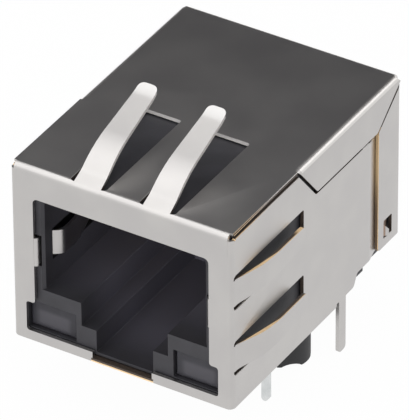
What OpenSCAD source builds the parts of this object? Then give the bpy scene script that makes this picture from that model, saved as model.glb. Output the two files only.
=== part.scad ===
// Shielded board-mount modular jack with spring fingers, two indicator lamps and built-in magnetics.
// Millimetres, +Z up. The mouth faces -Y, and the latch side of the plug is down.
// The origin lies on the board plane, midway between the two locating pegs.
// Inside the file, lengths along Y are counted from the front face, and in_frame() moves each piece.

/* [Overall] */
// Width of the shield across its side walls
body_w = 16.25; // [15.95:0.05:18]
// Height of the shield above the board
body_h = 13.3; // [13.2:0.1:15]
// Depth of the shield from its front face to its rear cover
body_l = 21.05; // [20.9:0.05:24]

/* [Sheet metal] */
// Thickness of the shield's sheet
sheet_t = 0.25; // [0.2:0.01:0.28]
// Outer radius of the shield's folds
fold_r = 0.42; // [0.35:0.01:0.5]
// Width of a closed seam between two panels
seam_gap = 0.12; // [0.06:0.01:0.16]
// Height of the seam between the top panel and the side walls
lid_gap = 0.16; // [0.1:0.01:0.2]
// Width of the slanted seam in front of the top flange, along the side
slant_gap = 0.3; // [0.15:0.01:0.4]
// Clearance between the shield and the housing
fit = 0.1; // [0.05:0.01:0.15]
// Clearance of a pressed or laid-in piece
snug = 0.03; // [0.02:0.01:0.05]

/* [Mouth] */
// Width of the front panel beside the plug
rim_w = 1.675; // [1.5:0.025:1.8]
// Height of the front panel above the mouth
lintel_h = 2.25; // [2.1:0.05:2.6]
// Width of the front panel beside the lamps
lamp_rim_w = 1.025; // [0.9:0.025:1.1]
// Height of the mouth's upper edge beside the lamps
lamp_mouth_top = 2.95; // [2.9:0.05:3.4]
// Height of the sill under the lamps
sill_h = 0.72; // [0.65:0.01:0.8]
// Width of the gap in the sill for the plug's latch
sill_gap_w = 4.4; // [4:0.1:5]
// Depth of the flap folded under the housing
flap_l = 3.6; // [2.5:0.1:5]

/* [Spring fingers] */
// Width of the windows that the fingers are cut from
window_w = 2.66; // [2.5:0.02:3]
// Distance of the windows from the front face
window_y = 0.28; // [0.26:0.01:0.35]
// Length of the top windows
window_top_l = 9.1; // [8.6:0.05:10]
// Length of the side windows
window_side_l = 8.5; // [8.4:0.05:9]
// Width of a finger at its root
finger_w = 1.96; // [1.8:0.02:2.3]
// Width of a finger at its tip
finger_tip_w = 1.36; // [1.1:0.02:1.7]
// Distance of the top fingers from the middle of the jack
finger_x = 2.52; // [2.2:0.02:3.5]
// Distance of the upper side fingers below the top
finger_drop = 4.48; // [4.4:0.02:5]
// Distance between the two fingers of a side
finger_pitch = 5.02; // [4.6:0.02:5.1]
// Rise of the top fingers above the shield
top_rise = 3; // [2:0.02:4]
// Length of the top fingers
top_finger_l = 7.65; // [7:0.05:8.2]
// Rise of the upper side fingers out of the side wall
side_rise_high = 0.64; // [0.4:0.02:1.2]
// Rise of the lower side fingers out of the side wall
side_rise_low = 0.84; // [0.4:0.02:1.2]
// Length of the side fingers
side_finger_l = 7.7; // [7.4:0.1:8]

/* [Plug ground springs] */
// Height of the ground springs' lower edge above the port's floor
ground_rise = 1.88; // [1.6:0.02:2.4]
// Width of a ground spring at the mouth
ground_w = 2.15; // [1.8:0.05:2.4]
// Width of a ground spring in the port
ground_leaf_w = 1.82; // [1.4:0.02:2]
// How far the ground springs bow into the port
ground_bow = 0.5; // [0.3:0.05:0.8]

/* [Side seams and tabs] */
// Height of the top's side flanges
flange_h = 2.8; // [2.4:0.05:3.1]
// Where the slanted edge of the top's side flanges starts
flange_y = 8.2; // [7.5:0.05:9]
// Length of that slanted edge along the side
slant_run = 2.3; // [1.5:0.05:3]
// Width of the rear cover's side flanges
rear_flange_w = 2.85; // [2.6:0.05:3]
// Length of the side walls' inward step in front of the rear flanges
jog_l = 1.1; // [0.6:0.05:1.3]
// Distance of the side walls' rear ends from the rear of the shield
wall_end = 1.3; // [1.2:0.05:1.5]
// Height of the shield's lower edge at the rear
rear_z = 1.12; // [0.9:0.02:1.3]
// Where the lower edge of the side walls steps up
step_y = 15.2; // [15:0.05:16]
// Height of the side walls' lower edge behind the solder tabs
shoulder_z = 0.25; // [0.1:0.05:0.4]
// Distance of the shield's solder tabs from the front face
tab_y = 13.68; // [13.4:0.02:14.2]
// Width of the solder tabs
tab_w = 0.85; // [0.7:0.05:1.2]
// Length of the solder tabs below the board plane
tab_l = 3.85; // [3:0.05:4.2]
// Width of the latch windows in the rear flanges
latch_w = 1.05; // [0.8:0.05:1.2]
// Height of the latch windows in the rear flanges
latch_h = 1.43; // [1.2:0.01:1.8]

/* [Port] */
// Width of the plug port
port_w = 11.84; // [11.7:0.02:12]
// Height of the plug port
port_h = 6.8; // [6.7:0.02:6.9]
// Distance of the port's ceiling below the shield's top
ceiling_h = 2.55; // [2.5:0.05:2.8]
// Depth of the port from the housing's front face
port_d = 11.95; // [11.6:0.05:12.1]
// Width of the upper part of the latch channel
latch_neck_w = 6.4; // [6:0.1:6.5]
// Height of the upper part of the latch channel
latch_neck_h = 1.75; // [1.5:0.05:2]
// Width of the lower part of the latch channel
latch_slot_w = 4.2; // [4:0.1:4.6]
// Thickness of the wall behind the port
back_t = 0.7; // [0.6:0.05:0.8]
// Height of the housing's underside at the rear above the board
rear_floor = 0.35; // [0.3:0.05:0.8]

/* [Locating pegs] */
// Diameter of the locating pegs
peg_d = 3.2; // [2.8:0.05:3.4]
// Distance between the locating pegs
peg_pitch = 11.43; // [11:0.01:11.6]
// Distance of the pegs from the front face
peg_y = 10.65; // [10:0.05:11.2]
// Length of the pegs below the board plane
peg_l = 3.3; // [2.8:0.05:3.4]

/* [Contacts] */
// Distance from one contact to the next
contact_pitch = 1.02; // [1:0.005:1.04]
// Width of a contact spring
contact_w = 0.45; // [0.35:0.01:0.5]
// Thickness of a contact spring
contact_t = 0.3; // [0.2:0.01:0.32]
// Thickness of the plastic carrier above the port
carrier_t = 0.9; // [0.8:0.05:1]
// How far the contacts' free ends reach below the port's ceiling
contact_drop = 2.4; // [2:0.05:2.6]

/* [Lamps] */
// Width of a lamp
lamp_w = 3.5; // [3.2:0.05:3.55]
// Height of a lamp
lamp_h = 2.05; // [1.9:0.05:2.1]
// Depth of a lamp
lamp_d = 4.45; // [4:0.05:4.8]
// Distance of the lamp leads from the front face
lead_y = 6.25; // [6:0.05:6.8]
// Distance between the two leads of a lamp
lead_pitch = 2.29; // [2:0.01:2.4]

/* [Board pins] */
// Width of the square pins and leads
pin_w = 0.46; // [0.4:0.01:0.5]
// Distance across the board from one pin to the next
pin_pitch = 1.016; // [0.9:0.002:1.1]
// Distance of the front row of pins from the front face
pin_y = 16.9; // [16.6:0.05:17.2]
// Distance between the two rows of pins
pin_rows = 2.54; // [2:0.02:2.8]
// Length of the pins and leads below the board plane
pin_l = 3.5; // [3:0.05:4]

/* [Magnetics] */
// Thickness of the inner circuit board
board_t = 0.6; // [0.4:0.05:0.8]
// Gap between the magnetics case and the ceiling of its bay
case_gap = 1.8; // [1.4:0.1:2]
// Thickness of the case's floor
case_floor = 2.2; // [2:0.05:2.3]
// Outer diameter of the ring cores
core_d = 2.6; // [2.2:0.05:2.7]
// Bore of the ring cores
core_bore = 1.2; // [1:0.05:1.3]
// Width of the ring cores along their axis
core_l = 1.6; // [1.2:0.05:2]
// Thickness of the wire layer on a core
wire_t = 0.14; // [0.1:0.01:0.16]

/* [Chips on the inner board] */
// Distance from one resistor to the next
chip_pitch = 2.6; // [2:0.1:3]
// Length of a resistor
resistor_l = 1.6; // [1:0.1:1.8]
// Width of a resistor
resistor_w = 0.8; // [0.5:0.05:1]
// Height of a resistor
resistor_h = 0.45; // [0.3:0.05:0.6]
// Length of the capacitor
capacitor_l = 3.2; // [2:0.1:3.4]
// Width of the capacitor
capacitor_w = 1.6; // [1.2:0.1:1.8]
// Height of the capacitor
capacitor_h = 0.9; // [0.5:0.05:1]

/* [Hidden] */
eps = 0.01;
bend_n = 5;
half_w = body_w / 2;
// Housing envelope inside the shield
hx = half_w - sheet_t - fit;
hy0 = sheet_t + fit;
hy1 = body_l - sheet_t - fit;
hz0 = sheet_t + fit;
hz1 = body_h - sheet_t - fit;
rear_y = body_l - rear_flange_w;
// The side wall jogs inward by one sheet behind the rear flange
jog_y = rear_y - jog_l;
jog_x = half_w - 1.5 * sheet_t - snug;
hx_rear = half_w - 2 * sheet_t - snug - fit;
// Heights that hang from the top
mouth_top = body_h - lintel_h;
mouth_w = body_w - 2 * rim_w;
lamp_mouth_w = body_w - 2 * lamp_rim_w;
flange_z = body_h - flange_h;
finger_z_high = body_h - finger_drop;
finger_z_low = finger_z_high - finger_pitch;
// Port and what lies behind it
port_top = body_h - ceiling_h;
port_z = port_top - port_h;
ground_z = port_z + ground_rise;
contact_end_z = port_top - contact_drop;
port_back = hy0 + port_d;
bay_y = port_back + back_t;
bay_x = hx_rear - 0.45;
board_y = bay_y + 0.5;
board_back = board_y + board_t;
case_y = board_back + 1.1;
case_x = bay_x - 0.05;
// Contact carrier
ledge_t = 0.24;
carrier_z = port_top + ledge_t;
carrier_top = carrier_z + carrier_t;
nose_y = hy0 + 1.75;
carrier_x = 3.5 * contact_pitch + 1.1;
contact_x = 3.5 * contact_pitch + 0.6;
bay_top = carrier_top + 0.06;
case_top = bay_top - case_gap;
wire_z = carrier_top - contact_t / 2;
wire_bend = 0.3;
wire_y = nose_y - snug - wire_bend;
tail_y = bay_y + 0.25;
// Lamps stand in pockets in the lower corners of the housing
pocket_x1 = lamp_mouth_w / 2 + 2 * snug;
pocket_x0 = pocket_x1 - lamp_w - 2 * snug;
pocket_z0 = sill_h + 0.05;
lamp_x = (pocket_x0 + pocket_x1) / 2;
lamp_y = hy0 + 0.2;
lamp_back = lamp_y + lamp_d;
lamp_z = pocket_z0 + snug;
pocket_top = lamp_z + lamp_h + snug;
lead_z = lamp_z + lamp_h / 2;
lead_w = pin_w;
lead_x1 = pocket_x1 - lead_w / 2 - 2 * snug;
lead_x0 = lead_x1 - lead_pitch;

// ---- Two-dimensional helpers ----
function unit(v) = v / norm(v);
// Arc that rounds the corner v between a and b, starting d before it
function arc(a, v, b, d, n) =
    let(
        p = unit(a - v),
        q = unit(b - v),
        h = acos(max(-1, min(1, p * q))) / 2,
        c = v + unit(p + q) * d / cos(h),
        w0 = v + p * d - c,
        w1 = v + q * d - c,
        f = 180 - 2 * h
    )
    [for (i = [0:n]) c + (w0 * sin((1 - i / n) * f) + w1 * sin(i / n * f)) / sin(f)];
// Open path with every inner corner rounded; d holds one distance per inner corner
function bent(pts, d, n = bend_n) =
    concat([pts[0]],
        [for (i = [1:len(pts) - 2]) each arc(pts[i - 1], pts[i], pts[i + 1], d[i - 1], n)],
        [pts[len(pts) - 1]]);
// Closed outline with rounded corners; d holds one distance per corner, 0 leaves it sharp
function softened(pts, d, n = bend_n) =
    let(m = len(pts))
    [for (i = [0:m - 1])
        each (d[i] > 0 ? arc(pts[(i + m - 1) % m], pts[i], pts[(i + 1) % m], d[i], n) : [pts[i]])];
// Points beside a path at distance h, mitred where it turns
function beside(p, h) =
    let(m = len(p) - 1)
    [for (i = [0:m])
        let(
            a = i == 0 ? unit(p[1] - p[0]) : unit(p[i] - p[i - 1]),
            b = i == m ? unit(p[m] - p[m - 1]) : unit(p[i + 1] - p[i]),
            t = unit(a + b),
            k = max(0.2, t * a)
        )
        p[i] + [-t[1], t[0]] * h / k];
// Outline of a sheet of thickness t that follows a path
function strip(p, t) =
    let(u = beside(p, t / 2), v = beside(p, -t / 2), m = len(p) - 1)
    concat(u, [for (i = [m:-1:0]) v[i]]);

// Prism of a (y, z) outline across X
module across(x0, x1, pts) {
    translate([x0, 0, 0]) rotate([90, 0, 90]) linear_extrude(x1 - x0) polygon(pts);
}
// Prism of an (x, z) outline along Y
module along(y0, y1, pts) {
    translate([0, y1, 0]) rotate([90, 0, 0]) linear_extrude(y1 - y0) polygon(pts);
}
// Prism of an (x, y) outline up Z
module up(z0, z1, pts) {
    translate([0, 0, z0]) linear_extrude(z1 - z0) polygon(pts);
}
module box(x0, x1, y0, y1, z0, z1) {
    translate([x0, y0, z0]) cube([x1 - x0, y1 - y0, z1 - z0]);
}
module both() {
    children();
    mirror([1, 0, 0]) children();
}

module in_frame() {
    translate([0, -peg_y, 0]) children();
}

// ---- Shield ----
// Front panel and the two side walls, folded from one strip in plan
side_rear = body_l - wall_end;
wall_mid = half_w - sheet_t / 2;
// Folds are rounded on the middle of the sheet
fold_d = fold_r - sheet_t / 2;
module wall_channel() {
    path = bent([[-jog_x, side_rear], [-jog_x, rear_y], [-wall_mid, jog_y], [-wall_mid, sheet_t / 2],
        [wall_mid, sheet_t / 2], [wall_mid, jog_y], [jog_x, rear_y], [jog_x, side_rear]],
        [0.15, 0.15, fold_d, fold_d, 0.15, 0.15]);
    up(-tab_l, body_h, strip(path, sheet_t));
}
// Outline of a side wall: solder tab, stepped lower edge and slanted upper edge
wall_top = body_h - sheet_t - lid_gap;
wall_low_z = flange_z - seam_gap;
tab_tip = tab_w * 0.3;
// Where the top flange's slanted edge is at height z
function slant_at(z) = flange_y + slant_run * (body_h - z) / flange_h;
module wall_outline() {
    y0 = tab_y - tab_w / 2;
    y1 = tab_y + tab_w / 2;
    pts = [[-1, 0], [y0 - 0.3, 0], [y0 - 0.3, shoulder_z], [y0, shoulder_z], [y0, -tab_l], [y1, -tab_l],
        [y1, shoulder_z], [step_y - 0.1, shoulder_z], [step_y + 0.35, rear_z], [body_l, rear_z],
        [body_l, wall_low_z - 0.1], [jog_y, wall_low_z - 0.1], [jog_y - 0.2, wall_low_z],
        [slant_at(wall_low_z) - slant_gap, wall_low_z], [slant_at(wall_top) - slant_gap, wall_top],
        [-1, wall_top]];
    d = [0, 0.1, 0.1, 0.1, tab_tip, tab_tip, 0.1, 0.2, 0.15, 0, 0, 0, 0, 0.15, 0, 0];
    across(-half_w - 1, half_w + 1, softened(pts, d, 3));
}
// Front, top and rear cover, folded from one strip seen from the side
module cover_channel() {
    x = half_w - fold_r * 0.75;
    path = bent([[sheet_t / 2, body_h - 1.5], [sheet_t / 2, body_h - sheet_t / 2],
        [body_l - sheet_t / 2, body_h - sheet_t / 2], [body_l - sheet_t / 2, rear_z]], [fold_d, fold_d]);
    across(-x, x, strip(path, sheet_t));
    box(-wall_mid, wall_mid, fold_r, flange_y + eps, body_h - sheet_t, body_h);
}
// Top with its side flanges
mitre_y = rear_y - 0.15;
mitre = (body_h - fold_r - flange_z) / (body_l - mitre_y);
module top_flanges() {
    path = bent([[-wall_mid, flange_z - 1], [-wall_mid, body_h - sheet_t / 2],
        [wall_mid, body_h - sheet_t / 2], [wall_mid, flange_z - 1]], [fold_d, fold_d]);
    intersection() {
        along(flange_y, body_l, strip(path, sheet_t));
        across(-half_w - 1, half_w + 1, softened([[slant_at(body_h + 1), body_h + 1],
            [slant_at(flange_z), flange_z], [mitre_y, flange_z], [body_l - 0.15, body_h - fold_r],
            [body_l - fold_r, body_h - fold_r * 0.3], [body_l - fold_r, body_h + 1]],
            [0, 0.15, 0.1, 0, 0, 0], 3));
    }
}
// Rear cover's side flanges, latched over hooks of the side walls
module rear_flanges() {
    path = bent([[-wall_mid, rear_y], [-wall_mid, body_l - sheet_t / 2],
        [wall_mid, body_l - sheet_t / 2], [wall_mid, rear_y]], [fold_d, fold_d]);
    g = seam_gap * 1.2;
    intersection() {
        up(rear_z, body_h - fold_r, strip(path, sheet_t));
        across(-half_w - 1, half_w + 1, softened([[rear_y, rear_z], [body_l + 1, rear_z],
            [body_l + 1, body_h - fold_r - g], [body_l, body_h - fold_r - g], [mitre_y + g, flange_z - g / 3],
            [rear_y, flange_z - g]], [0.2, 0, 0, 0, 0, 0.1], 3));
    }
}
latch_y = rear_y + 0.68;
latch_z = rear_z + 0.6;
module latch_hooks() {
    path = bent([[jog_x, latch_y - 0.35], [jog_x, latch_y + 0.05],
        [half_w + sheet_t * 0.1, latch_y + latch_w * 0.55]], [0.12]);
    both() intersection() {
        up(latch_z, latch_z + latch_h, strip(path, sheet_t));
        across(0, body_w, [[latch_y - 1, latch_z + 0.08], [latch_y + latch_w * 0.8, latch_z + 0.08],
            [latch_y + latch_w * 0.15, latch_z + latch_h * 0.75], [latch_y - 1, latch_z + latch_h * 0.75]]);
    }
}
// Flap folded under the housing, with the sill lips beside the latch gap
module bottom_flap() {
    x1 = half_w - fold_r - 0.1;
    path = bent([[sheet_t / 2, sill_h], [sheet_t / 2, sheet_t / 2], [flap_l, sheet_t / 2]], [fold_d]);
    both() across(sill_gap_w / 2, x1, strip(path, sheet_t));
    box(-sill_gap_w / 2 - eps, sill_gap_w / 2 + eps, 0, flap_l, 0, sheet_t);
}
module mouth_cut() {
    a = mouth_w / 2;
    b = lamp_mouth_w / 2;
    g = sill_gap_w / 2;
    pts = [[-g, sheet_t], [g, sheet_t], [g, sill_h], [b, sill_h], [b, lamp_mouth_top], [a, lamp_mouth_top],
        [a, mouth_top], [-a, mouth_top], [-a, lamp_mouth_top], [-b, lamp_mouth_top],
        [-b, sill_h], [-g, sill_h]];
    d = [0, 0, 0, 0.2, 0.2, 0.2, 0.35, 0.35, 0.2, 0.2, 0.2, 0];
    along(-1, sheet_t * 1.05, softened(pts, d, 4));
}
// Round relief where the seam between the top panel and a side wall ends at the front fold
module corner_relief() {
    translate([half_w - fold_r * 1.5, fold_r, body_h - sheet_t - lid_gap / 2]) rotate([0, 90, 0])
        cylinder(r = lid_gap, h = fold_r * 2, $fn = 32);
}
// Plan of a tapered finger with a rounded tip, running from y to l
function finger_plan(y, l) =
    let(a = finger_w / 2, b = finger_tip_w / 2, t = finger_tip_w * 0.32)
    softened([[-a, y], [a, y], [a, window_y], [b, l], [-b, l], [-a, window_y]], [0, 0, 0, t, t, 0], 4);
// Bent path of a top finger: it leaves the front fold early, rises steeply, flattens and ends turned down
function top_path() =
    let(z = body_h - sheet_t / 2, r = top_rise, l = top_finger_l)
    bent([[sheet_t / 2, body_h - 4 * fold_r], [sheet_t / 2, z - fold_d * 0.4],
        [fold_r + l * 0.097, z + r * 0.135], [fold_r + l * 0.273, z + r * 0.51],
        [fold_r + l * 0.907, z + r], [fold_r + l, z + r * 0.975]], [fold_d * 0.6, l * 0.035, l * 0.185, l * 0.06]);
// Bent path of a side finger in plan: round the front fold, out of the wall, and back a little at its tip
function side_path(r) =
    let(x = wall_mid, l = side_finger_l)
    bent([[x - 2 * fold_r, sheet_t / 2], [x, sheet_t / 2], [x, fold_r + l * 0.043],
        [x + r * 0.83, fold_r + l * 0.303], [x + r, fold_r + l * 0.517], [x + r * 0.85, fold_r + l]],
        [fold_d, l * 0.04, l * 0.08, l * 0.1]);
module top_window(x) {
    w = window_w / 2;
    a = finger_w / 2;
    up(body_h - sheet_t * 1.5, body_h + 1, softened([[x - w, window_y], [x + w, window_y],
        [x + w, window_y + window_top_l], [x - w, window_y + window_top_l]], [0.25, 0.25, 0.15, 0.15], 3));
    // The finger takes the place of the fold over its own width
    box(x - a, x + a, -1, window_y + eps, body_h - fold_r, body_h + 1);
}
module top_finger(x) {
    intersection() {
        across(x - finger_w, x + finger_w, strip(top_path(), sheet_t));
        translate([x, 0, 0]) up(body_h - fold_r - sheet_t, body_h + top_rise + 1,
            finger_plan(-1, fold_r + top_finger_l));
    }
}
module side_window(z) {
    w = window_w / 2;
    across(half_w - sheet_t * 1.5, half_w + 1, softened([[window_y, z - w], [window_y + window_side_l, z - w],
        [window_y + window_side_l, z + w], [window_y, z + w]], [0.25, 0.15, 0.15, 0.25], 3));
}
module side_finger(z, rise) {
    intersection() {
        up(z - finger_w, z + finger_w, strip(side_path(rise), sheet_t));
        translate([0, 0, z]) rotate([0, 90, 0])
            up(half_w - fold_r, half_w + rise + 1, finger_plan(window_y - 0.1, fold_r + side_finger_l));
    }
}
// Ground springs: tabs at the mouth's side edges, folded back and bowed into the port
spring_x = port_w / 2 + 0.4;
slot_y = 1.4;
module ground_springs() {
    x1 = port_w / 2 - ground_bow + sheet_t / 2;
    y = sheet_t / 2;
    path = bent([[mouth_w / 2 + 0.3, y], [spring_x, y], [spring_x, slot_y + 0.1], [x1, slot_y + 0.65],
        [x1, slot_y + 2.2], [spring_x, slot_y + 5], [spring_x, slot_y + 5.5]], [0.2, 0.2, 0.3, 0.6, 0.2]);
    c = (ground_w - ground_leaf_w) / 2;
    both() intersection() {
        up(ground_z, ground_z + ground_w, strip(path, sheet_t * 0.9));
        across(0, body_w, [[-1, ground_z], [0.6, ground_z], [1, ground_z + c], [slot_y + 6, ground_z + c],
            [slot_y + 6, ground_z + ground_w - c], [1, ground_z + ground_w - c], [0.6, ground_z + ground_w],
            [-1, ground_z + ground_w]]);
    }
}
module shield() color([0.78, 0.78, 0.77]) in_frame() {
    difference() {
        union() {
            intersection() {
                wall_channel();
                wall_outline();
            }
            cover_channel();
            top_flanges();
            rear_flanges();
            bottom_flap();
        }
        mouth_cut();
        for (x = [-finger_x, finger_x]) top_window(x);
        both() {
            side_window(finger_z_low);
            side_window(finger_z_high);
            corner_relief();
            across(half_w - sheet_t - 0.02, half_w + 1, softened([[latch_y, latch_z],
                [latch_y + latch_w, latch_z], [latch_y + latch_w, latch_z + latch_h],
                [latch_y, latch_z + latch_h]], [0.1, 0.1, 0.1, 0.1], 3));
        }
    }
    for (x = [-finger_x, finger_x]) top_finger(x);
    both() {
        side_finger(finger_z_low, side_rise_low);
        side_finger(finger_z_high, side_rise_high);
    }
    ground_springs();
    latch_hooks();
}

// ---- Housing ----
slot_floor = hz0 + 0.2;
// Port seen from the front: plug opening with the stepped latch channel under it
function port_outline(g) =
    let(a = port_w / 2 + g, b = latch_neck_w / 2 + g, c = latch_slot_w / 2 + g, z = port_z - g)
    [[-a, z], [-b, z], [-b, z - latch_neck_h], [-c, z - latch_neck_h], [-c, slot_floor],
        [c, slot_floor], [c, z - latch_neck_h], [b, z - latch_neck_h], [b, z], [a, z],
        [a, port_top + g], [-a, port_top + g]];
module housing_block() {
    intersection() {
        up(-1, body_h, [[-hx, hy0], [hx, hy0], [hx, jog_y - 0.25], [hx_rear, jog_y + 0.1], [hx_rear, hy1],
            [-hx_rear, hy1], [-hx_rear, jog_y + 0.1], [-hx, jog_y - 0.25]]);
        across(-body_w, body_w, [[hy0, hz0], [step_y - 0.15, hz0], [step_y - 0.15, rear_z - fit],
            [step_y + 0.6, rear_z - fit], [step_y + 0.6, rear_floor], [hy1, rear_floor], [hy1, hz1],
            [hy0, hz1]]);
    }
}
// Peg with a chamfered tip, scalloped crosswise so that it bites into its hole
module peg() {
    c = 0.2;
    s = 0.95;
    difference() {
        rotate_extrude($fn = 64) polygon([[0, -peg_l], [peg_d / 2 - c, -peg_l], [peg_d / 2, -peg_l + c],
            [peg_d / 2, hz0 + 0.3], [0, hz0 + 0.3]]);
        for (a = [45, 135]) translate([0, 0, -peg_l + 0.47 - s]) rotate([0, 90, a])
            cylinder(r = s, h = peg_d + 2, center = true, $fn = 48);
    }
}
module lamp_pocket() {
    box(pocket_x0, pocket_x1, hy0 - 1, lead_y + 0.6, pocket_z0, pocket_top);
    for (x = [lead_x0, lead_x1])
        box(x - lead_w / 2 - snug, x + lead_w / 2 + snug, lead_y - 0.5, lead_y + 0.5, -1, pocket_z0 + eps);
}
module spring_pocket() {
    z0 = ground_z - fit;
    z1 = ground_z + ground_w + fit;
    box(spring_x - sheet_t / 2 - fit, spring_x + sheet_t / 2 + fit, hy0 - 1, slot_y + 1, z0, z1);
    box(port_w / 2 - 1, spring_x + sheet_t / 2 + fit, slot_y, slot_y + 5.8, z0, z1);
}
module housing() color([0.14, 0.14, 0.16]) in_frame() {
    difference() {
        union() {
            housing_block();
            both() intersection() {
                translate([peg_pitch / 2, peg_y, 0]) {
                    peg();
                    cylinder(d = peg_d + 0.6, h = hz0 + eps, $fn = 48);
                }
                // Above the board a peg and its collar stay inside the housing's side
                along(0, body_l, [[0, -peg_l - 1], [body_w, -peg_l - 1], [body_w, 0], [hx, 0],
                    [hx, body_h], [0, body_h]]);
            }
        }
        along(hy0 - 1, port_back, port_outline(0));
        // Lead-in at the port's mouth
        intersection() {
            across(-half_w, half_w, [[hy0 - 0.2, port_z], [hy0 + 0.4, port_z],
                [hy0 + 0.4, port_top - 0.2], [hy0 - 0.2, port_top + 0.4]]);
            up(0, body_h, [[-port_w / 2 - 0.4, hy0 - 0.2], [port_w / 2 + 0.4, hy0 - 0.2],
                [port_w / 2 - 0.2, hy0 + 0.4], [-port_w / 2 + 0.2, hy0 + 0.4]]);
        }
        both() {
            lamp_pocket();
            spring_pocket();
        }
        // Slot over the port for the springs, and the carrier's channel on its ledges
        box(-contact_x, contact_x, nose_y - 0.85, port_back, port_top - eps, carrier_z + eps);
        box(-carrier_x - snug, carrier_x + snug, nose_y - 0.85, bay_y + 1, carrier_z, bay_top);
        // Comb slots for the free ends of the springs
        for (i = [0:7]) translate([(i - 3.5) * contact_pitch, 0, 0])
            box(-contact_w / 2 - 0.12, contact_w / 2 + 0.12, port_back - eps, bay_y + 1, contact_end_z - 0.5,
                port_top + 0.1);
        // Bay for the magnetics, open at the rear and below
        box(-bay_x, bay_x, bay_y, body_l, -1, bay_top);
        // Coring of the underside behind the lamps
        both() box(latch_neck_w / 2 + 0.5, peg_pitch / 2 - 0.9, lead_y + 1.6,
            peg_y - peg_d / 2 - 0.5, -1, port_z - 1.2);
    }
    // Rails that the inner board stands against
    both() box(bay_x - 1, bay_x + eps, bay_y - eps, board_y, rear_floor + 0.6, carrier_z - 0.4);
}

// ---- Contacts ----
module contact_carrier() color([0.2, 0.2, 0.22]) in_frame() {
    difference() {
        across(-carrier_x, carrier_x, softened([[nose_y, carrier_z], [bay_y - 0.05, carrier_z],
            [bay_y - 0.05, carrier_top], [nose_y, carrier_top]], [0.25, 0, 0, 0.1], 4));
        for (i = [0:7]) translate([(i - 3.5) * contact_pitch, 0, 0])
            box(-contact_w / 2 - snug, contact_w / 2 + snug, nose_y - 1, bay_y + 1, carrier_top - contact_t,
                carrier_top + 1);
    }
}
// Spring wire: tail in the inner board, run over the carrier, turn round its nose, slant back into the port
tail_z = [carrier_z - 0.1, carrier_z - 0.95];
module contact(i) color([0.83, 0.66, 0.33]) in_frame() {
    z = tail_z[i % 2];
    path = bent([[board_back + 0.5, z], [tail_y, z], [tail_y, wire_z], [wire_y, wire_z],
        [wire_y, port_top - 0.1], [port_back + back_t * 0.5, contact_end_z]], [0.22, 0.22, wire_bend, 0.35]);
    x = (i - 3.5) * contact_pitch;
    across(x - contact_w / 2, x + contact_w / 2, strip(path, contact_t));
}

// ---- Inner board and its chips ----
board_x = bay_x - 0.15;
board_z0 = rear_floor + 0.5;
board_z1 = carrier_top - 0.1;
module inner_board() color([0.1, 0.35, 0.2]) in_frame() {
    difference() {
        box(-board_x, board_x, board_y, board_back, board_z0, board_z1);
        for (i = [0:7]) translate([(i - 3.5) * contact_pitch, board_y - 1, tail_z[i % 2]]) rotate([-90, 0, 0])
            cylinder(d = norm([contact_w, contact_t]) + 0.15, h = board_t + 2, $fn = 32);
    }
}
chip_z = carrier_z - 2.6;
module resistor(i) color([0.12, 0.12, 0.12]) in_frame() {
    x = (i - 1.5) * chip_pitch;
    box(x - resistor_l / 2, x + resistor_l / 2, board_back, board_back + resistor_h,
        chip_z - resistor_w / 2, chip_z + resistor_w / 2);
}
module capacitor() color([0.72, 0.62, 0.48]) in_frame() {
    z = chip_z - resistor_w / 2 - 1.2;
    box(-capacitor_l / 2, capacitor_l / 2, board_back, board_back + capacitor_h, z - capacitor_w, z);
}

// ---- Magnetics ----
core_x = (2 * case_x - 1.2) / 4;
core_y = (case_y + hy1) / 2;
core_r = core_d / 2 + wire_t + 0.04;
row_z = [rear_floor + case_floor + core_r + 0.03, rear_floor + case_floor + 3 * core_r + 0.1];
module at_core(i) {
    translate([(i % 4 - 1.5) * core_x, core_y, row_z[floor(i / 4)]]) rotate([90, 0, 0]) children();
}
module magnetics_case() color([0.16, 0.16, 0.18]) in_frame() {
    difference() {
        box(-case_x, case_x, case_y, hy1, rear_floor, case_top);
        box(-case_x + 0.6, case_x - 0.6, case_y + 0.6, hy1 - 0.6, rear_floor + case_floor, body_h);
        for (i = [0:9]) translate([(i - 4.5) * pin_pitch, pin_y + (i % 2) * pin_rows, 0])
            box(-pin_w / 2 - snug, pin_w / 2 + snug, -pin_w / 2 - snug, pin_w / 2 + snug, -1,
                rear_floor + case_floor - 0.4);
    }
    // Feet that stand on the board
    both() translate([case_x - 1.2, pin_y + pin_rows / 2, 0]) cylinder(d = 1.2, h = rear_floor + eps, $fn = 32);
}
module core(i) color([0.25, 0.23, 0.22]) in_frame() {
    at_core(i) rotate_extrude($fn = 48) translate([core_bore / 2, -core_l / 2])
        square([(core_d - core_bore) / 2, core_l]);
}
module winding(i) color([0.72, 0.35, 0.2]) in_frame() {
    g = 0.02;
    w = wire_t;
    at_core(i) for (a = [20, 200]) rotate(a) rotate_extrude(angle = 140, $fn = 48) difference() {
        translate([core_bore / 2 - w - g, -core_l / 2 - w - g])
            square([(core_d - core_bore) / 2 + 2 * w + 2 * g, core_l + 2 * w + 2 * g]);
        translate([core_bore / 2 - g, -core_l / 2 - g])
            square([(core_d - core_bore) / 2 + 2 * g, core_l + 2 * g]);
    }
}
// Square pin with a chamfered tip
module board_pin(i) color([0.8, 0.8, 0.8]) in_frame() {
    a = pin_w / 2;
    c = pin_w * 0.3;
    z1 = rear_floor + case_floor - 0.45;
    outline = [[-a, z1], [-a, -pin_l + c], [-a + c, -pin_l], [a - c, -pin_l], [a, -pin_l + c], [a, z1]];
    translate([(i - 4.5) * pin_pitch, pin_y + (i % 2) * pin_rows, 0]) intersection() {
        across(-a, a, outline);
        along(-a, a, outline);
    }
}

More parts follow.
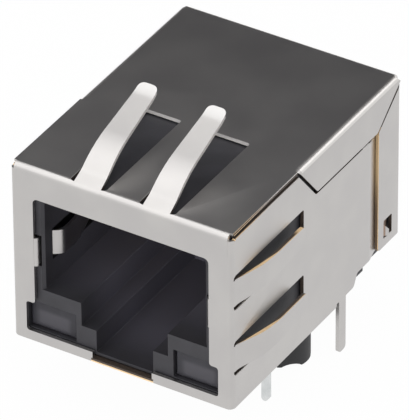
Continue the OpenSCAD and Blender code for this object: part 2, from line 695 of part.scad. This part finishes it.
// ---- Lamps ----
cup_w = lamp_w * 0.74;
cup_h = lamp_h * 0.54;
cup_y = lamp_y + 0.35;
cup_z = lamp_z + lamp_h * 0.4;
module lamp(s) color([0.3, 0.3, 0.32, 0.7]) in_frame() {
    c = 0.12;
    a = lamp_w / 2;
    difference() {
        intersection() {
            across(s * lamp_x - a, s * lamp_x + a, [[lamp_y + c, lamp_z], [lamp_back, lamp_z],
                [lamp_back, lamp_z + lamp_h], [lamp_y + c, lamp_z + lamp_h], [lamp_y, lamp_z + lamp_h - c],
                [lamp_y, lamp_z + c]]);
            translate([s * lamp_x, 0, 0]) up(0, lamp_mouth_top + 1, [[-a, lamp_back], [-a, lamp_y + c],
                [-a + c, lamp_y], [a - c, lamp_y], [a, lamp_y + c], [a, lamp_back]]);
        }
        translate([s * lamp_x, 0, cup_z]) box(-cup_w / 2 - snug, cup_w / 2 + snug, cup_y - snug,
            lamp_back + 1, -cup_h / 2 - snug, cup_h / 2 + snug);
    }
}
module lamp_frame(s) color([0.6, 0.6, 0.58]) in_frame() {
    translate([s * lamp_x, 0, cup_z]) box(-cup_w / 2, cup_w / 2, cup_y, lamp_back, -cup_h / 2, cup_h / 2);
}
module lamp_lead(x) color([0.75, 0.76, 0.75]) in_frame() {
    a = lead_w / 2;
    c = lead_w * 0.3;
    path = bent([[lamp_back, lead_z], [lead_y, lead_z], [lead_y, -pin_l]], [0.45]);
    translate([x, 0, 0]) intersection() {
        across(-a, a, strip(path, lead_w));
        along(-1, lead_y + 1, [[-a, lead_z + 1], [-a, -pin_l + c], [-a + c, -pin_l], [a - c, -pin_l],
            [a, -pin_l + c], [a, lead_z + 1]]);
    }
}

shield();
housing();
contact_carrier();
contact(0);  // contact_1
contact(1);  // contact_2
contact(2);  // contact_3
contact(3);  // contact_4
contact(4);  // contact_5
contact(5);  // contact_6
contact(6);  // contact_7
contact(7);  // contact_8
inner_board();
resistor(0);  // resistor_1
resistor(1);  // resistor_2
resistor(2);  // resistor_3
resistor(3);  // resistor_4
capacitor();
magnetics_case();
core(0);  // core_1
core(1);  // core_2
core(2);  // core_3
core(3);  // core_4
core(4);  // core_5
core(5);  // core_6
core(6);  // core_7
core(7);  // core_8
winding(0);  // winding_1
winding(1);  // winding_2
winding(2);  // winding_3
winding(3);  // winding_4
winding(4);  // winding_5
winding(5);  // winding_6
winding(6);  // winding_7
winding(7);  // winding_8
board_pin(0);  // board_pin_1
board_pin(1);  // board_pin_2
board_pin(2);  // board_pin_3
board_pin(3);  // board_pin_4
board_pin(4);  // board_pin_5
board_pin(5);  // board_pin_6
board_pin(6);  // board_pin_7
board_pin(7);  // board_pin_8
board_pin(8);  // board_pin_9
board_pin(9);  // board_pin_10
lamp(-1);  // lamp_left
lamp(1);  // lamp_right
lamp_frame(-1);  // lamp_frame_left
lamp_frame(1);  // lamp_frame_right
lamp_lead(-lead_x1);  // lamp_lead_1
lamp_lead(-lead_x0);  // lamp_lead_2
lamp_lead(lead_x0);  // lamp_lead_3
lamp_lead(lead_x1);  // lamp_lead_4
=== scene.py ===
"""Looks of a shielded board-mount modular jack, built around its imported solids."""
import bpy
import bmesh
import math
from mathutils import Matrix, Vector


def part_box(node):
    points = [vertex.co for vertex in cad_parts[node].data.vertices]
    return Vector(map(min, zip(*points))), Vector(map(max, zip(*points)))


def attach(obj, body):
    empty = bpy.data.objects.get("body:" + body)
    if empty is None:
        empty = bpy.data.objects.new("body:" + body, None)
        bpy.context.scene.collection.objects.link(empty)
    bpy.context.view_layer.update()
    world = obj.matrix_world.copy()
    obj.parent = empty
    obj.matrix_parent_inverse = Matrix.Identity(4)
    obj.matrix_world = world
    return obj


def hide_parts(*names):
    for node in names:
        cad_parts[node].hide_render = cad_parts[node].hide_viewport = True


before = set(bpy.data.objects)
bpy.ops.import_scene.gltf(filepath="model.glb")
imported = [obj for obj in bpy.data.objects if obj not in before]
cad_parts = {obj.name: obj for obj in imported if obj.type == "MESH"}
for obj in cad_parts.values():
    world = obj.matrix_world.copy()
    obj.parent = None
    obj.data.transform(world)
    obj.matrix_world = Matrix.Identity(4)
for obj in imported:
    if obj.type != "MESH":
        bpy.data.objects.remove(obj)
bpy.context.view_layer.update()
MM = 0.001
BUMP_DEPTH = 0.02 * MM
FOLD_R = 0.42
SHEET_T = 0.25
shield_low, shield_high = (Vector(c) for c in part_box("shield"))
front_y = shield_low.y
rear_y = shield_high.y
tip_z = min(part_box(name)[0][2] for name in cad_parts)


# ---------------------------------------------------------------- shader maths
class Sock:
    """A node socket that can be used in Python expressions."""

    def __init__(self, mat, link):
        self.mat, self.link = mat, link

    def _math(self, op, a, b=None):
        return self.mat.node("ShaderNodeMath", {"operation": op}, {0: a, 1: b})

    def __add__(self, o): return self._math("ADD", self, o)
    def __radd__(self, o): return self._math("ADD", o, self)
    def __sub__(self, o): return self._math("SUBTRACT", self, o)
    def __rsub__(self, o): return self._math("SUBTRACT", o, self)
    def __mul__(self, o): return self._math("MULTIPLY", self, o)
    def __gt__(self, o): return self._math("GREATER_THAN", self, o)
    def __lt__(self, o): return self._math("LESS_THAN", self, o)
    def abs(self): return self._math("ABSOLUTE", self)
    def max(self, o): return self._math("MAXIMUM", self, o)
    def between(self, low, high): return (self > low) * (self < high)

    def ramp(self, low, high):
        """0 below low, 1 above high, smooth between."""
        return self.mat.node("ShaderNodeMapRange", {"interpolation_type": "SMOOTHSTEP"},
                             {"Value": self, "From Min": low, "From Max": high})


class Finish:
    """One material: a Principled shader with procedural inputs."""

    def __init__(self, name):
        self.data = bpy.data.materials.new(name)
        self.data.use_nodes = True
        self.tree = self.data.node_tree
        self.shader = self.tree.nodes["Principled BSDF"]
        self.coords = None

    def node(self, kind, settings=None, inputs=None, output=0):
        made = self.tree.nodes.new(kind)
        for key, value in (settings or {}).items():
            setattr(made, key, value)
        for key, value in (inputs or {}).items():
            if value is not None:
                self.feed(made.inputs[key], value)
        return Sock(self, made.outputs[output])

    def feed(self, socket, value):
        if isinstance(value, Sock):
            self.tree.links.new(value.link, socket)
        elif isinstance(value, tuple) and len(value) == 3 and len(socket.default_value) == 4:
            socket.default_value = (*value, 1)
        else:
            socket.default_value = value

    def place(self):
        """Object coordinates in millimetres."""
        if self.coords is None:
            source = self.tree.nodes.new("ShaderNodeTexCoord")
            self.normal_out = Sock(self, source.outputs["Normal"])
            self.coords = self.node("ShaderNodeVectorMath", {"operation": "SCALE"},
                                    {0: Sock(self, source.outputs["Object"]), "Scale": 1000.0})
        return self.coords

    def split(self, vector):
        made = self.tree.nodes.new("ShaderNodeSeparateXYZ")
        self.tree.links.new(vector.link, made.inputs[0])
        return [Sock(self, made.outputs[i]) for i in range(3)]

    def xyz(self):
        return self.split(self.place())

    def facing(self):
        self.place()
        return self.split(self.normal_out)

    def stretched(self, x, y, z):
        return self.node("ShaderNodeVectorMath", {"operation": "MULTIPLY"}, {0: self.place(), 1: (x, y, z)})

    def noise(self, scale, detail=3.0, rough=0.5, at=None):
        return self.node("ShaderNodeTexNoise", None,
                         {"Vector": at or self.place(), "Scale": scale, "Detail": detail, "Roughness": rough})

    def mix(self, factor, a, b):
        return self.node("ShaderNodeMix", {"data_type": "RGBA"}, {0: factor, 6: a, 7: b}, output=2)

    def bump(self, height, strength):
        return self.node("ShaderNodeBump", None, {"Height": height, "Strength": strength, "Distance": BUMP_DEPTH})

    def set(self, **values):
        for key, value in values.items():
            self.feed(self.shader.inputs[key.replace("_", " ")], value)


# ---------------------------------------------------------------- finishes
def nickel_sheet():
    """Satin nickel plate with a rolling grain, and cut edges painted from dark inside (painted shade) to a bright
    outer rim (painted highlight).
    """
    m = Finish("nickel_sheet")
    x, y, z = m.xyz()
    nx, ny, nz = (n.abs() for n in m.facing())
    outer = m.node("ShaderNodeAttribute", {"attribute_name": "outer"}, output=2)
    half = shield_side
    ax = x.abs()
    front = front_y / MM
    rear = rear_y / MM
    top = shield_top
    flange_front = front + 8.6
    slack = 0.02
    flap_half_w = 2.3
    edge_on, square_on = 0.35, 0.6
    flat_y = y.between(front + FOLD_R, rear - FOLD_R)
    in_wall = ax.between(half - 0.55, half + slack) * (nx < edge_on) * z.between(0.3, top - 0.3) * flat_y
    in_top = z.between(top - SHEET_T - slack, top + slack) * (nz < edge_on) * flat_y * (ax < half - 0.1)
    on_side_finger = (ax > half + slack) * (nz > square_on)
    in_flap = (z < SHEET_T + slack) * (ny > 0.8) * (ax < flap_half_w) * (y < front + 1.0)
    over_flap = (z < 0.4) * (nz > square_on) * (ax < flap_half_w)
    cut = in_wall.max(in_top).max(on_side_finger).max(in_flap).max(over_flap)
    # The seam beside the top is warm at the front corner and turns pale towards the rear
    seam = (z > top - 0.6) * (ax > half - 0.6) * (y < flange_front)
    seam_warmth = 1.0 - y.ramp(front + 1.5, front + 5.5)
    # The cut edges of the rear flange and the top flange; the seams beside them are painted dark as painted shade
    rear_seam = in_wall * y.between(rear - 3.6, rear - 2.2) * (z < top - 2.6)
    corner_seam = in_wall * (y > rear - 3.25) * (z > top - 3.1)
    flange_seam = in_wall * (nz > 0.7) * z.between(top - 3.1, top - 2.6) * (y < rear - 4.9)
    # Cut edges in these seams and gaps are painted all dark, as painted shade; elsewhere the outer rim carries a
    # painted highlight
    shaded = (in_wall * (ny > 0.7) * (1.0 - rear_seam)).max(in_flap * (z > 0.1)).max(over_flap)
    shaded = shaded.max(corner_seam).max(flange_seam)
    rim = outer.ramp(0.65, 0.92) * (1.0 - shaded)
    # Inside the latch windows the hooks are painted darker and brown, as painted shade in the window recess
    latch_window_shade = ax.between(half - 1.2, half - 0.03) * z.between(1.5, 3.5) * y.between(rear - 2.3, rear - 0.9)
    # The tips of the top fingers get a paler plate, as a painted highlight
    tip_highlight = (z > top + 2.3) * y.ramp(front + 6.6, front + 7.3)
    # The long fold between the top and the side gets a paler plate, as a painted highlight
    fold_highlight = (ax > half - 0.4) * (z > top - 0.3) * (y > flange_front)
    warm = on_side_finger.max(in_flap).max(rear_seam).max(seam * seam_warmth)
    grain = m.noise(6.0, 4.0, 0.6, m.stretched(0.35, 4.0, 4.0))
    cloud = m.noise(0.35, 2.0, 0.5)
    speck = m.noise(22.0, 2.0, 0.6)
    plate = m.mix(cloud.ramp(0.3, 0.7), (0.505, 0.49, 0.482), (0.535, 0.52, 0.507))
    # The outer rim of a cut edge is cream to gold: the gold of the raw edge with a painted highlight along its
    # rolled corner
    gold_rim_highlight = m.mix(warm, (0.86, 0.83, 0.80), (0.92, 0.66, 0.38))
    # The inner part of a cut edge is painted dark with specks, as painted shade
    inner_edge_shade = m.mix(speck.ramp(0.35, 0.65), (0.045, 0.035, 0.03), (0.09, 0.065, 0.05))
    # The front edge of the rear flange is gold at the top and dark brown towards the bottom
    rear_edge_dark_low = m.mix(z.ramp(4.0, 8.0), (0.16, 0.105, 0.06), (0.52, 0.37, 0.20))
    inner_edge_shade = m.mix(rear_seam, inner_edge_shade, rear_edge_dark_low)
    edge = m.mix(rim, inner_edge_shade, gold_rim_highlight)
    plate = m.mix(tip_highlight, plate, (0.59, 0.58, 0.57))
    plate = m.mix(fold_highlight, plate, (0.66, 0.64, 0.62))
    plate = m.mix(latch_window_shade, plate, (0.34, 0.25, 0.20))
    rough = 0.27 + grain * 0.06 + cloud * 0.05
    m.set(Base_Color=m.mix(cut, plate, edge), Metallic=1.0 - cut * 0.7, Roughness=rough + cut * 0.2,
          Normal=m.bump(grain + speck * 0.4, 0.12))
    return m.data


def black_moulding(name, tone, gloss=0.42, port_painted_light=None):
    """Moulded plastic with a fine spark-eroded texture, duller down in the plug port and painted paler there as
    painted light.
    """
    m = Finish(name)
    fine = m.noise(9.0, 4.0, 0.6)
    cloud = m.noise(0.6, 2.0)
    colour = m.mix(cloud.ramp(0.3, 0.7), tuple(c * 0.85 for c in tone), tuple(c * 1.15 for c in tone))
    rough = gloss + fine * 0.12
    if port_painted_light:
        x, y, z = m.xyz()
        front = front_y / MM
        port_side, ceiling, blur = 5.85, 10.7, 0.15
        across_port = 1.0 - x.abs().ramp(port_side, port_side + blur)
        under_ceiling = 1.0 - z.ramp(ceiling, ceiling + blur)
        above_board = z.ramp(0.1, 0.4)
        inside = y.ramp(front + 0.3, front + 5.0) * across_port * under_ceiling * above_board
        # Inside the plug port the plastic is painted paler, as painted light lifting the dark interior
        colour = m.mix(inside, colour, port_painted_light)
        # Below the board the plastic is painted darker, as painted shade under the body
        colour = m.mix(z.ramp(-0.5, 0.2), tuple(c * 0.3 for c in tone), colour)
        rough = rough + inside * 0.3
    m.set(Base_Color=colour, Roughness=rough, Normal=m.bump(fine, 0.25))
    return m.data


def gold_spring():
    m = Finish("gold_spring")
    drawn = m.noise(5.0, 3.0, 0.6, m.stretched(6.0, 0.4, 6.0))
    m.set(Base_Color=m.mix(drawn.ramp(0.3, 0.7), (0.86, 0.60, 0.24), (0.93, 0.70, 0.34)), Metallic=1.0,
          Roughness=0.2 + drawn * 0.1, Normal=m.bump(drawn, 0.08))
    return m.data


def tin_pin():
    m = Finish("tin_pin")
    drawn = m.noise(5.0, 3.0, 0.6, m.stretched(5.0, 5.0, 0.5))
    cloud = m.noise(1.2, 2.0)
    m.set(Base_Color=m.mix(cloud.ramp(0.3, 0.7), (0.60, 0.62, 0.62), (0.70, 0.71, 0.71)), Metallic=1.0,
          Roughness=0.33 + drawn * 0.12, Normal=m.bump(drawn, 0.12))
    return m.data


def smoky_lens():
    """Diffused grey epoxy with the paler block inside showing softly through its front."""
    m = Finish("smoky_lens")
    x, y, z = m.xyz()
    cloud = m.noise(1.6, 3.0)
    beside = (x.abs() - block_x).abs().ramp(block_half_w - 0.35, block_half_w + 0.1)
    above = (z - block_z).abs().ramp(block_half_h - 0.2, block_half_h + 0.15)
    block = (1.0 - beside) * (1.0 - above)
    resin = m.mix(cloud.ramp(0.3, 0.7), (0.026, 0.025, 0.032), (0.034, 0.033, 0.041))
    m.set(Base_Color=m.mix(block, resin, (0.066, 0.063, 0.074)), Roughness=0.42 + cloud * 0.08, Alpha=0.85,
          Normal=m.bump(m.noise(4.0, 2.0), 0.05))
    return m.data


def plain(name, low, high, scale, roughness, metallic=0.0):
    m = Finish(name)
    cloud = m.noise(scale, 3.0)
    m.set(Base_Color=m.mix(cloud.ramp(0.3, 0.7), low, high), Roughness=roughness + cloud * 0.08,
          Metallic=metallic, Normal=m.bump(m.noise(scale * 6, 2.0), 0.12))
    return m.data


def copper_wire():
    """Enamelled turns side by side round the ring."""
    m = Finish("copper_wire")
    turns = m.node("ShaderNodeTexWave", {"wave_type": "RINGS", "rings_direction": "SPHERICAL"},
                   {"Vector": m.place(), "Scale": 3.0, "Distortion": 0.5})
    m.set(Base_Color=m.mix(turns, (0.42, 0.13, 0.05), (0.62, 0.24, 0.10)), Roughness=0.3, Coat_Weight=0.5,
          Normal=m.bump(turns, 0.4))
    return m.data


# ---------------------------------------------------------------- pieces
def lift_finger_tips(bm):
    """Turn the last millimetre of the top fingers up a little and pull it back to keep its length."""
    start, bend, slope, pull = front_y + 6.9 * MM, 0.92 * MM, 0.5, 0.25
    for vert in bm.verts:
        along = vert.co.y - start
        if vert.co.z > (shield_top + 1.0) * MM and along > 0:
            vert.co.z += slope * (along ** 2 / (2 * bend) if along < bend else along - bend / 2)
            vert.co.y -= pull * along


def mark_outer_side(bm):
    """Vertex value 1 on the outer side of the sheet and 0 on its inner side, so that a cut edge can be painted
    from painted shade inside to a painted highlight at the outer rim.
    """
    outer = bm.verts.layers.float.new("outer")
    middle = (shield_low + shield_high) / 2
    bm.normal_update()
    for face in bm.faces:
        around = sum(e.calc_length() for e in face.edges)
        sharp = sum(e.calc_length() for e in face.edges if not e.smooth)
        cut = 2 * face.calc_area() < (SHEET_T + 0.01) * MM * around and sharp > 0.45 * around
        if not cut and face.normal.dot(face.calc_center_median() - middle) > 0:
            for vert in face.verts:
                vert[outer] = 1.0


SOFT_ANGLE = math.radians(32)
FLAT_ANGLE = math.radians(0.4)


def show(name, data):
    made = bpy.data.objects.new(name, data)
    bpy.context.collection.objects.link(made)
    return made


def dressed(node, name, edge):
    """A merged, smooth-shaded copy of a solid with softened edges, shown in the solid's place."""
    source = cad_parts[node]
    mesh = source.data.copy()
    mesh.name = name
    bm = bmesh.new()
    bm.from_mesh(mesh)
    bmesh.ops.remove_doubles(bm, verts=bm.verts, dist=1e-7)
    bmesh.ops.dissolve_limit(bm, angle_limit=FLAT_ANGLE, verts=bm.verts, edges=bm.edges)
    for face in bm.faces:
        face.smooth = True
    for e in bm.edges:
        e.smooth = not (len(e.link_faces) == 2 and e.calc_face_angle() > SOFT_ANGLE)
    if node == "shield":
        lift_finger_tips(bm)
        mark_outer_side(bm)
    bm.to_mesh(mesh)
    bm.free()
    piece = show(name, mesh)
    round_edge = piece.modifiers.new("edge", "BEVEL")
    round_edge.width = edge
    round_edge.segments = 2
    round_edge.limit_method = "ANGLE"
    round_edge.angle_limit = SOFT_ANGLE
    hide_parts(node)
    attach(piece, "root")
    return piece


def paint(piece, material):
    piece.data.materials.clear()
    piece.data.materials.append(material)


# Sheet metal sizes in millimetres, taken from the solids
body_low, body_high = (Vector(c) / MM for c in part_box("housing"))
WALL_GAP = 0.35  # sheet and clearance between the housing and the outside of the shield
shield_side = body_high.x + WALL_GAP
shield_top = body_high.z + WALL_GAP
block_low, block_high = (Vector(c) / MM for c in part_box("lamp_frame_right"))
block_x, block_z = (block_low.x + block_high.x) / 2, (block_low.z + block_high.z) / 2
block_half_w, block_half_h = (block_high.x - block_low.x) / 2, (block_high.z - block_low.z) / 2

materials = {
    "shield": nickel_sheet(),
    # The last colour is painted light inside the plug port
    "housing": black_moulding("black_moulding", (0.027, 0.026, 0.031), 0.5, (0.115, 0.11, 0.14)),
    "contact_carrier": black_moulding("carrier_moulding", (0.035, 0.035, 0.04)),
    "contact": gold_spring(),
    "inner_board": plain("green_laminate", (0.03, 0.16, 0.07), (0.04, 0.21, 0.10), 2.0, 0.35),
    "resistor": plain("chip_black", (0.02, 0.02, 0.02), (0.035, 0.035, 0.035), 3.0, 0.3),
    "capacitor": plain("chip_buff", (0.50, 0.40, 0.26), (0.60, 0.49, 0.34), 3.0, 0.5),
    "magnetics_case": black_moulding("case_moulding", (0.032, 0.032, 0.037)),
    "core": plain("ferrite", (0.05, 0.045, 0.045), (0.09, 0.08, 0.08), 5.0, 0.6, 0.2),
    "winding": copper_wire(),
    "board_pin": tin_pin(),
    "lamp_frame": plain("pale_block", (0.40, 0.40, 0.40), (0.50, 0.50, 0.49), 3.0, 0.5),
    "lamp": smoky_lens(),
}
materials["lamp_lead"] = materials["board_pin"]

for node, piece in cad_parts.items():
    kind = node.rstrip("0123456789_")
    for side in ("_left", "_right"):
        kind = kind.removesuffix(side)
    paint(piece, materials[kind])

edges = {"shield": 0.025 * MM, "housing": 0.05 * MM, "lamp_left": 0.04 * MM, "lamp_right": 0.04 * MM,
         "magnetics_case": 0.05 * MM}
for node, edge in edges.items():
    dressed(node, node + "_dressed", edge)


# ---------------------------------------------------------------- camera
def aim(azimuth, elevation):
    """Right, up and back directions of a view from that side."""
    a, e = math.radians(azimuth), math.radians(elevation)
    back = Vector((math.sin(a) * math.cos(e), -math.cos(a) * math.cos(e), math.sin(e)))
    right = Vector((0, 0, 1)).cross(back).normalized()
    return right, back.cross(right), back


right, up, back = aim(31.493, 35.028)
roll = math.radians(-0.439)
right, up = right * math.cos(roll) + up * math.sin(roll), up * math.cos(roll) - right * math.sin(roll)
centre = Vector((0, front_y + 8.0 * MM, 6.7 * MM))
distance, shift_right, shift_up = 0.45, 0.0010987, 0.0007974
camera_data = bpy.data.cameras.new("view")
camera = show("view", camera_data)
camera_data.lens = 608.06
camera_data.sensor_width = 36.0
camera_data.clip_start = 0.01
camera_data.clip_end = 20.0
spot = centre + back * distance + right * shift_right + up * shift_up
camera.matrix_world = Matrix.Translation(spot) @ Matrix((right, up, back)).transposed().to_4x4()
bpy.context.scene.camera = camera


# ---------------------------------------------------------------- stage and lamps
def flat(name, width, height, place):
    """A single rectangle in the given place."""
    bm = bmesh.new()
    bmesh.ops.create_grid(bm, x_segments=1, y_segments=1, size=0.5)
    bmesh.ops.scale(bm, vec=(width, height, 1), verts=bm.verts)
    bmesh.ops.transform(bm, matrix=place, verts=bm.verts)
    mesh = bpy.data.meshes.new(name)
    bm.to_mesh(mesh)
    bm.free()
    return show(name, mesh)


def card(name, azimuth, elevation, distance, width, height, glow=None, tone=None):
    """A flat panel that faces the jack: a lamp when it glows, or a dark flag for the metal to mirror."""
    r, u, b = aim(azimuth, elevation)
    place = Matrix.Translation(centre + b * distance) @ Matrix((r, u, b)).transposed().to_4x4()
    if glow:
        lamp = bpy.data.lights.new(name, "AREA")
        lamp.shape = "RECTANGLE"
        lamp.size, lamp.size_y = width, height
        lamp.energy = glow * math.pi * width * height
        show(name, lamp).matrix_world = place
        return
    made = flat(name, width, height, place)
    paint(made, tone)
    made.visible_camera = False
    made.visible_diffuse = False
    made.visible_shadow = False


def flat_tone(name, colour):
    m = Finish(name)
    m.set(Base_Color=colour, Roughness=1.0)
    m.shader.inputs["Specular IOR Level"].default_value = 0.0
    return m.data


def floor_finish():
    """Pale floor that the lens sees as nearly white, with a faint shadow."""
    m = Finish("floor")
    tree = m.tree
    m.set(Base_Color=(0.86, 0.86, 0.86), Roughness=0.9)
    light_path = tree.nodes.new("ShaderNodeLightPath")
    glow = tree.nodes.new("ShaderNodeEmission")
    glow.inputs["Strength"].default_value = 1.0
    mixer = tree.nodes.new("ShaderNodeMixShader")
    rays = [Sock(m, light_path.outputs[kind + " Ray"]) for kind in ("Is Camera", "Is Glossy", "Is Transmission")]
    seen = rays[0].max(rays[1]).max(rays[2]) * 0.975
    m.feed(mixer.inputs[0], seen)
    tree.links.new(m.shader.outputs[0], mixer.inputs[1])
    tree.links.new(glow.outputs[0], mixer.inputs[2])
    tree.links.new(mixer.outputs[0], tree.nodes["Material Output"].inputs["Surface"])
    return m.data


floor = flat("floor", 6.0, 6.0, Matrix.Translation((0, 0, tip_z)))
paint(floor, floor_finish())

card("flag", 211, 31, 0.30, 0.55, 0.34, tone=flat_tone("flag_black", (0.085, 0.084, 0.088)))
card("top_box", -105, 88, 0.5, 0.5, 0.5, glow=0.95)
card("front_box", -45, 38, 0.6, 0.46, 0.46, glow=0.72)
card("right_box", 95, 25, 0.6, 0.4, 0.4, glow=0.5)
card("rear_box", 152, 32, 0.6, 0.22, 0.35, glow=1.0)
card("mouth_fill", 12, 12, 0.30, 0.12, 0.12, glow=6.0)

world = bpy.data.worlds.new("studio")
bpy.context.scene.world = world
world.use_nodes = True
wt = world.node_tree
path = wt.nodes.new("ShaderNodeLightPath")
soft = wt.nodes["Background"]
soft.inputs["Color"].default_value = (0.75, 0.76, 0.78, 1)
soft.inputs["Strength"].default_value = 0.85
white = wt.nodes.new("ShaderNodeBackground")
white.inputs["Color"].default_value = (1, 1, 1, 1)
blend = wt.nodes.new("ShaderNodeMixShader")
seen = [path.outputs[kind + " Ray"] for kind in ("Is Camera", "Is Glossy", "Is Transmission")]
for ray in seen[1:]:
    either = wt.nodes.new("ShaderNodeMath")
    either.operation = "MAXIMUM"
    wt.links.new(seen[0], either.inputs[0])
    wt.links.new(ray, either.inputs[1])
    seen[0] = either.outputs[0]
wt.links.new(seen[0], blend.inputs[0])
wt.links.new(soft.outputs[0], blend.inputs[1])
wt.links.new(white.outputs[0], blend.inputs[2])
wt.links.new(blend.outputs[0], wt.nodes["World Output"].inputs["Surface"])
bpy.context.scene.view_settings.view_transform = "Standard"

bpy.context.view_layer.update()
